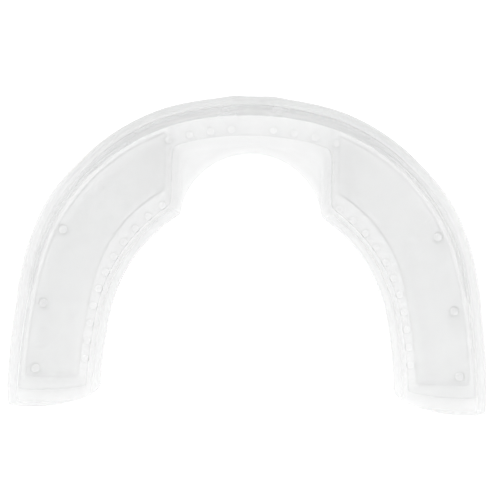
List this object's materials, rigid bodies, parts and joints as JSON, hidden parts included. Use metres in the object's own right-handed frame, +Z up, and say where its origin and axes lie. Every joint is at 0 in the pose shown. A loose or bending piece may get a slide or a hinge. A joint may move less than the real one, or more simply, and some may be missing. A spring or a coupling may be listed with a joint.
{
  "type": "boil-and-bite mouthguard",
  "caption": "Translucent boil-and-bite mouthguard for combat sports: a U-shaped tray with an inner frame, molar pads, a labial shock band and a fitting liner.",
  "frame": {"origin": "centre of the bounding box, at the level of the two molar platforms the guard rests on", "axes": "+X to the wearer's side, across the arch; +Y toward the front teeth; +Z up, out of the open tooth channel"},
  "size_m": [0.0668, 0.0432, 0.0196],
  "materials": {
    "tray_eva": "frosted translucent",
    "frame_eva": "frosted translucent",
    "liner_eva": "soft translucent",
    "band_eva": "frosted translucent",
    "pad_eva": "frosted translucent"
  },
  "bodies": {
    "root": {"outer_tray": "tray_eva", "shock_frame": "frame_eva", "fit_liner": "liner_eva", "labial_shock_band": "band_eva", "bite_pad_left": "pad_eva", "bite_pad_right": "pad_eva"}
  },
  "joints": []
}
